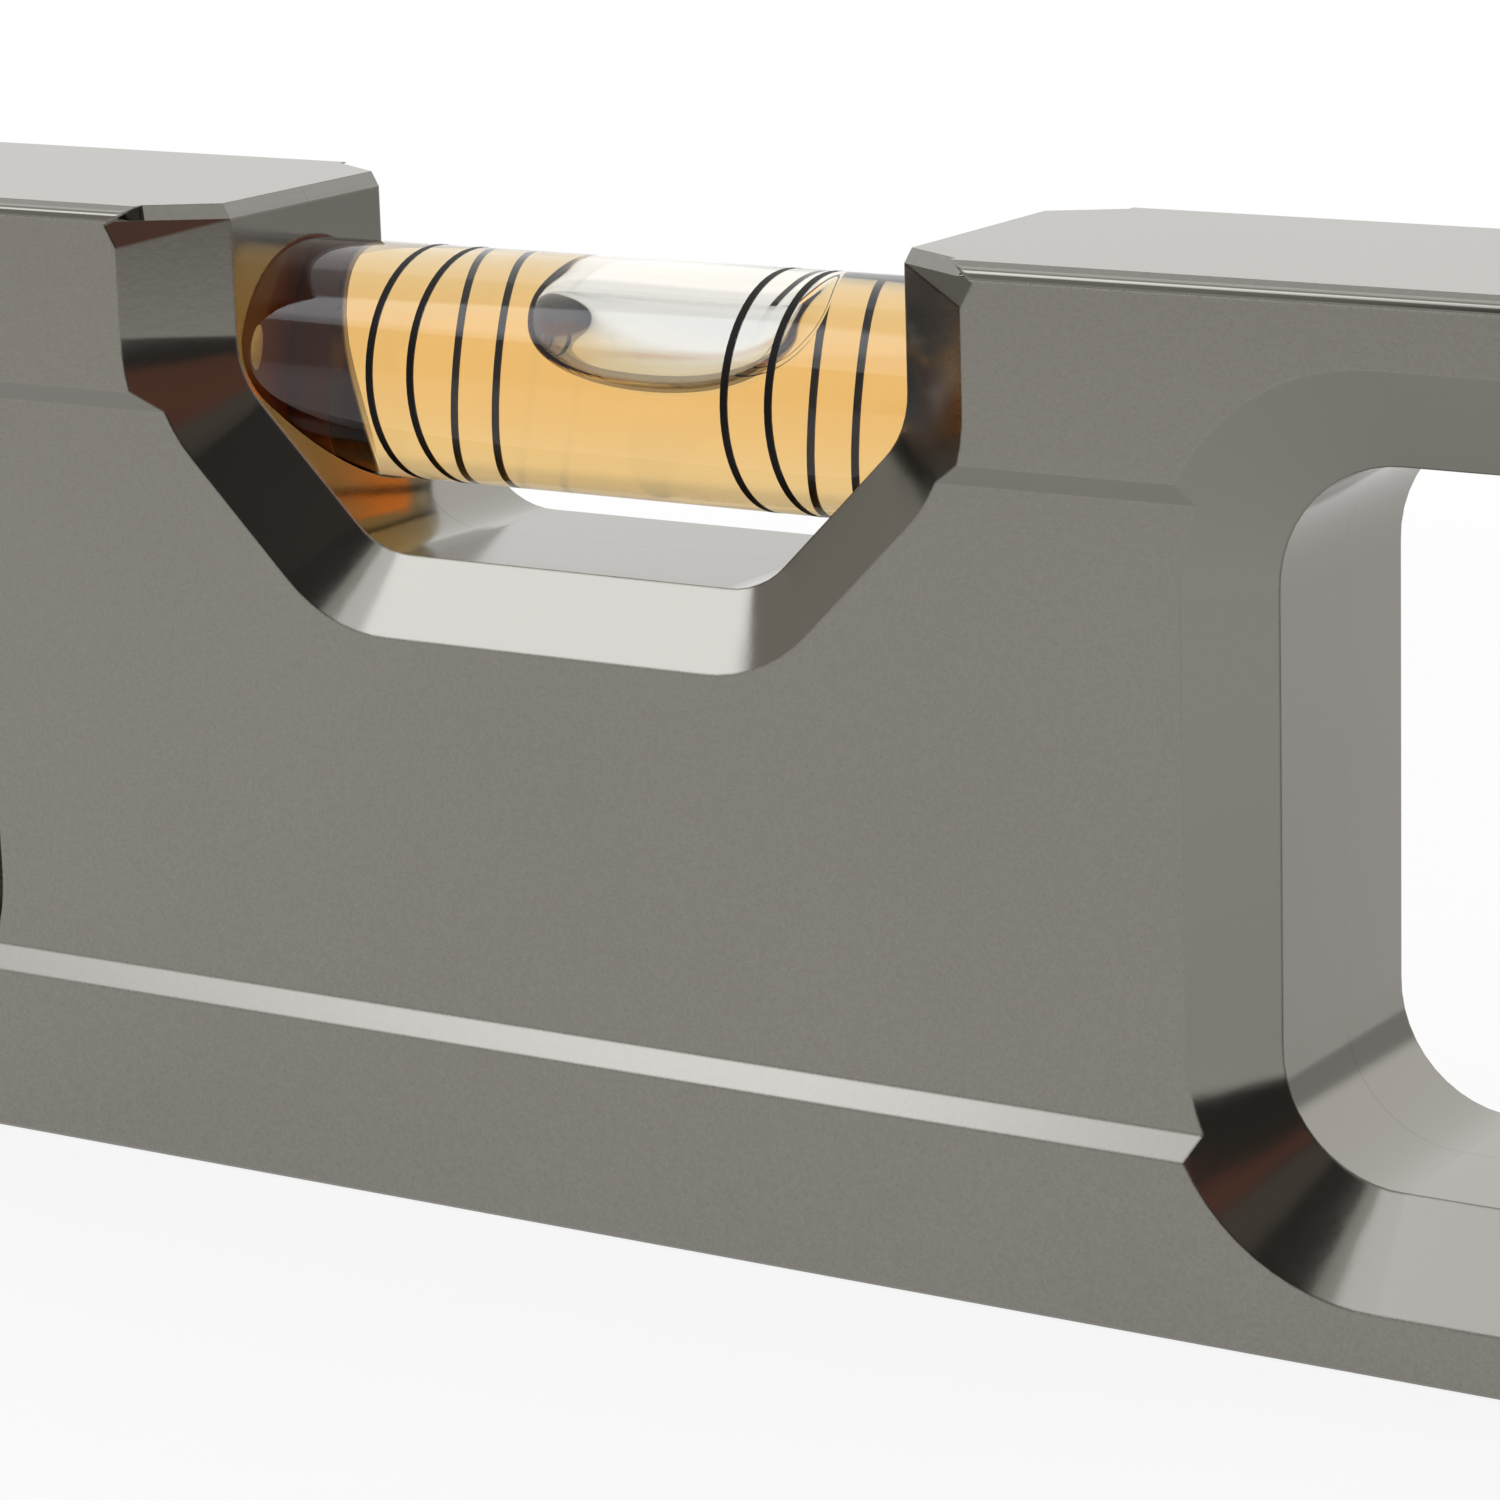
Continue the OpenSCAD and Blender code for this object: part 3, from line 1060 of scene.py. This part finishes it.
@dataclass
class Studio:
    """The plain studio: floor, soft light all round and camera.

    The camera's values come from a fit of the photograph's perspective. Its angles
    are in radians. The white part of the floor rises from the middle outwards, over
    a span of squared distances from the middle, from its least share for each kind
    of light ray. The panels are laid over each other in their order.
    """

    frame_pixels: float = 1500.0
    focal_pixels: float = 5238.479
    centre_pixels: Span = (801.351, 693.203)
    sensor_mm: float = 36.0
    clip: Span = (0.01, 20.0)
    place_mm: Triple = (94.72, -140.43, 56.83)
    yaw: float = 0.5623
    pitch: float = -0.2333
    roll: float = -0.0285
    floor_level: float = -0.02 * MM
    floor_radius: float = 0.15
    floor_rings: int = 24
    floor_columns: int = 96
    floor_grain: float = 2 * MM
    floor_shade: Span = (0.98, 0.04)
    floor_seen: Span = (0.006, 0.019)
    floor_reflected: Span = (0.002, 0.012)
    floor_color: Color = (0.80, 0.80, 0.79)
    floor_white: float = 0.86
    floor_mirrored: float = 0.62
    floor_through: float = 0.25
    air: Color = (0.85, 0.85, 0.84)
    dim: Color = (0.78, 0.78, 0.77)
    backdrop: tuple[Card, ...] = (
        Card((-190, 190), (-95, 18), (1.0, 1.0, 1.0), 8.0),
        Card((-150, -112), (10, 60), (2.0, 0.80, 0.26), 6.0),
    )
    cards: tuple[Card, ...] = (
        Card((-190, 190), (-95, -8), (0.95, 0.94, 0.92), 1.5),
        Card((-160, -20), (14, 80), (1.40, 1.40, 1.40), 5.0),
        Card((-98, -20), (-8, 14), (1.15, 1.15, 1.15), 4.0),
        Card((-142, -98), (-8, 8), (0.58, 0.58, 0.57), 3.0),
        Card((-16, 24), (-10, 4), (0.36, 0.37, 0.38), 3.0),
        Card((-16, 24), (4, 10), (0.34, 0.33, 0.31), 3.0),
        Card((-16, 24), (10, 36), (0.56, 0.55, 0.51), 3.0),
        Card((2, 27), (46, 72), (0.85, 0.85, 0.84), 4.0),
        Card((22, 66), (-1, 30), (0.55, 0.54, 0.52), 2.0),
        Card((66, 81), (-1, 30), (0.08, 0.078, 0.075), 2.0),
        Card((25, 81), (48, 74), (0.95, 0.95, 0.94), 2.0),
        Card((25, 71), (30.5, 47), (1.85, 1.90, 1.98), 1.5),
        Card((24, 51), (36, 56), (3.05, 3.15, 3.30), 5.0),
        Card((82, 150), (-6.6, 43), (0.07, 0.068, 0.065), 2.8),
        Card((104, 114), (24, 34), (0.20, 0.18, 0.16), 3.0),
        Card((110, 118), (2, 24), (0.29, 0.135, 0.10), 3.0),
    )

    def camera(self) -> bpy.types.Object:
        """The camera at the photograph's place, aim, focal length and frame.

        Returns:
            The camera.
        """
        data = bpy.data.cameras.new("camera")
        data.sensor_width = self.sensor_mm
        data.lens = self.focal_pixels * self.sensor_mm / self.frame_pixels
        half = self.frame_pixels / 2
        data.shift_x = (half - self.centre_pixels[0]) / self.frame_pixels
        data.shift_y = (self.centre_pixels[1] - half) / self.frame_pixels
        data.clip_start, data.clip_end = self.clip
        forward = Vector(
            (
                -math.sin(self.yaw) * math.cos(self.pitch),
                math.cos(self.yaw) * math.cos(self.pitch),
                math.sin(self.pitch),
            )
        )
        level_right = Vector((math.cos(self.yaw), math.sin(self.yaw), 0.0))
        level_up = level_right.cross(forward)
        right = level_right * math.cos(self.roll) + level_up * math.sin(self.roll)
        up = level_up * math.cos(self.roll) - level_right * math.sin(self.roll)
        made = bpy.data.objects.new("camera", data)
        turn = Matrix((right, up, -forward)).transposed().to_4x4()
        made.matrix_world = Matrix.Translation(Vector(self.place_mm) * MM) @ turn
        bpy.context.scene.collection.objects.link(made)
        bpy.context.scene.camera = made
        return made

    def floor(self) -> bpy.types.Object:
        """The round floor, seen as white with the object's shadow on it.

        Loop i of the floor is a circle of radius floor_radius times i over the
        number of loops, and the innermost one is its centre.

        Returns:
            The floor.
        """
        rings, columns = self.floor_rings, self.floor_columns
        turn = np.linspace(0, 2 * np.pi, columns, endpoint=False)
        radii = self.floor_radius * np.arange(1, rings + 1) / rings
        circles = ring_of(radii[:, None], turn[None, :]).reshape(-1, 2)
        points = np.vstack([np.zeros((1, 2)), circles])
        points = np.column_stack([points, np.full(len(points), self.floor_level)])
        index = 1 + np.arange(rings * columns).reshape(rings, columns)
        beside = np.roll(index, -1, axis=1)
        quads = np.stack([index[:-1], index[1:], beside[1:], beside[:-1]], axis=-1).reshape(-1, 4)
        middle = np.stack([np.zeros(columns, int), index[0], beside[0]], axis=-1)
        mesh = bpy.data.meshes.new("floor")
        mesh.from_pydata(points.tolist(), [], [*middle.tolist(), *quads.tolist()])
        made = bpy.data.objects.new("floor", mesh)
        bpy.context.scene.collection.objects.link(made)
        dress(made, self.paper())
        return made

    def paper(self) -> bpy.types.Material:
        """Builds the floor's paper.

        Returns:
            The material, which is partly lit and partly plain white.
        """
        material, g = new_material("floor_paper", self.floor_color)
        x, y, _ = g.parts(g.place())
        far = x * x + y * y
        shade, shade_range = self.floor_shade
        grain = g.noise(g.place(), (1, 1, 1), self.floor_grain)
        tone = g.scaled(self.floor_color, shade + shade_range * grain)
        lit = g.node("ShaderNodeBsdfDiffuse", {}, {"Color": tone})
        white = g.node("ShaderNodeEmission", {}, {"Color": (1.0, 1.0, 1.0, 1.0), "Strength": 1.0})
        share: Operand = 0.0
        for kind, least, span in (
            (Ray.CAMERA, self.floor_white, self.floor_seen),
            (Ray.GLOSSY, self.floor_mirrored, self.floor_reflected),
            (Ray.TRANSMISSION, self.floor_through, self.floor_reflected),
        ):
            whiteness = least + (1.0 - least) * far.rise(*span)
            share = (whiteness * self.ray(g, kind)).at_least(share)
        paper = g.node("ShaderNodeMixShader", {}, {0: share, 1: lit, 2: white})
        g.end(MATERIAL_END, {"Surface": paper})
        return material

    def ray(self, g: Graph, kind: Ray) -> Value:
        """1 for light of that kind, else 0."""
        return g.node("ShaderNodeLightPath", {}, {}, kind.value)

    def light(self) -> None:
        """Soft light from all round: pale air with panels hung in it.

        Clear pieces show the backdrop in place of the panels, and the camera sees
        plain white. The light is so even that no direction of it is sought out.
        """
        world = bpy.data.worlds.new("studio")
        bpy.context.scene.world = world
        world.use_nodes = True
        world.cycles.sampling_method = "NONE"
        g = Graph(world.node_tree)
        x, y, z = g.parts(g.node("ShaderNodeTexCoord", {}, {}, "Generated"))
        bearing = (-y).bearing(-x) * DEGREES
        height = z.arcsine() * DEGREES
        lit: Operand = self.air
        for card in self.cards:
            lit = g.mix(card.cover(bearing, height), lit, card.color)
        through: Operand = self.dim
        for card in self.backdrop:
            through = g.mix(card.cover(bearing, height), through, card.color)
        color = g.mix(self.ray(g, Ray.TRANSMISSION), lit, through)
        color = g.mix(self.ray(g, Ray.CAMERA), color, (1.0, 1.0, 1.0))
        g.end(WORLD_END, {"Surface": g.node("ShaderNodeBackground", {}, {"Color": color, "Strength": 1.0})})

    def build(self) -> None:
        """Builds the studio and sets the picture's tone."""
        self.camera()
        self.floor()
        self.light()
        bpy.context.scene.view_settings.view_transform = "Standard"
        LOG.info("studio: built the camera, the floor and the light")


def main() -> None:
    """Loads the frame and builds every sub-assembly."""
    logging.basicConfig(level=logging.INFO, format="%(name)s: %(message)s")
    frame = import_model()
    Studio().build()
    Bar.from_frame().build(frame["nodes"])
    Vial.from_frame().build(frame["nodes"])
    Magnets().build(frame["nodes"])


if __name__ == "__main__":
    main()
